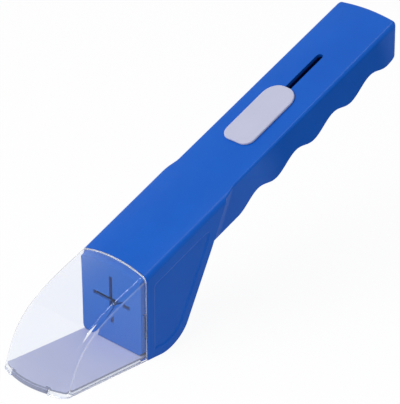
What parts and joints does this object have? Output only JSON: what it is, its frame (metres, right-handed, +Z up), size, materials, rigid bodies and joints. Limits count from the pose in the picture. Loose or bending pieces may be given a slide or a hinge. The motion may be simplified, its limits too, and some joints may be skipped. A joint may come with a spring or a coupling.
{
  "type": "insect catcher",
  "caption": "Hand-held insect catcher: clear scoop on a blue finger-grooved handle, closed from below by a bending trap door that a thumb pad on top slides shut.",
  "frame": {"origin": "centre of the bounding box's footprint on the plane of the scoop's mouth", "axes": "+X from the scoop towards the end of the handle, +Z up away from the mouth, Y across the case; the XZ plane is the mirror plane"},
  "size_m": [0.2244, 0.043, 0.1187],
  "materials": {
    "blue_case": "smooth injection-moulded ABS, semi-gloss",
    "clear_scoop": "clear polystyrene, polished",
    "pale_pad": "pale grey moulded plastic, satin",
    "grey_door": "pale grey flexible polypropylene, satin",
    "screw_steel": "zinc-plated steel"
  },
  "bodies": {
    "housing": {"upper_shell": "blue_case", "grip_cover": "blue_case", "vent_bulkhead": "blue_case", "clear_scoop": "clear_scoop", "door_strap": "grey_door", "cover_screw_1": "screw_steel", "cover_screw_2": "screw_steel", "cover_screw_3": "screw_steel", "cover_screw_4": "screw_steel"},
    "slider": {"thumb_pad": "pale_pad", "carriage": "grey_door"},
    "door_tip": {"door_tip": "grey_door"},
    "door_strip_1": {"door_strip_1": "grey_door"},
    "door_strip_2": {"door_strip_2": "grey_door"},
    "door_strip_3": {"door_strip_3": "grey_door"},
    "door_strip_4": {"door_strip_4": "grey_door"},
    "door_panel": {"door_panel": "grey_door"}
  },
  "joints": [
    {"name": "thumb_slide", "type": "slide", "parent": "housing", "child": "slider", "axis": [0.9135, 0, 0.4067], "range_m": [0, 0.052], "deforming": ["door_strap"]},
    {"name": "door_slide", "type": "slide", "parent": "housing", "child": "door_tip", "axis": [1, 0, 0], "range_m": [0, 0.052]},
    {"name": "door_bend_1", "type": "hinge", "parent": "door_tip", "child": "door_strip_1", "pos_m": [-0.10047, 0, 0.00175], "axis": [0, -1, 0], "range_deg": [0, 8], "deforming": ["door_strip_1"]},
    {"name": "door_bend_2", "type": "hinge", "parent": "door_tip", "child": "door_strip_2", "pos_m": [-0.09727, 0, 0.00197], "axis": [0, -1, 0], "range_deg": [0, 24], "deforming": ["door_strip_2"]},
    {"name": "door_bend_3", "type": "hinge", "parent": "door_tip", "child": "door_strip_3", "pos_m": [-0.0947, 0, 0.00243], "axis": [0, -1, 0], "range_deg": [0, 40], "deforming": ["door_strip_3"]},
    {"name": "door_bend_4", "type": "hinge", "parent": "door_tip", "child": "door_strip_4", "pos_m": [-0.09223, 0, 0.00311], "axis": [0, -1, 0], "range_deg": [0, 56], "deforming": ["door_strip_4"]},
    {"name": "door_bend_5", "type": "hinge", "parent": "door_tip", "child": "door_panel", "pos_m": [-0.09087, 0, 0.00363], "axis": [0, -1, 0], "range_deg": [0, 64], "deforming": ["door_panel"]}
  ],
  "couplings": [
    {"joint": "door_slide", "follows": "thumb_slide", "ratio": 1},
    {"joint": "door_bend_1", "follows": "thumb_slide", "rad_per_m": 2.6851},
    {"joint": "door_bend_2", "follows": "thumb_slide", "rad_per_m": 8.0554},
    {"joint": "door_bend_3", "follows": "thumb_slide", "rad_per_m": 13.426},
    {"joint": "door_bend_4", "follows": "thumb_slide", "rad_per_m": 18.796},
    {"joint": "door_bend_5", "follows": "thumb_slide", "rad_per_m": 21.481}
  ]
}
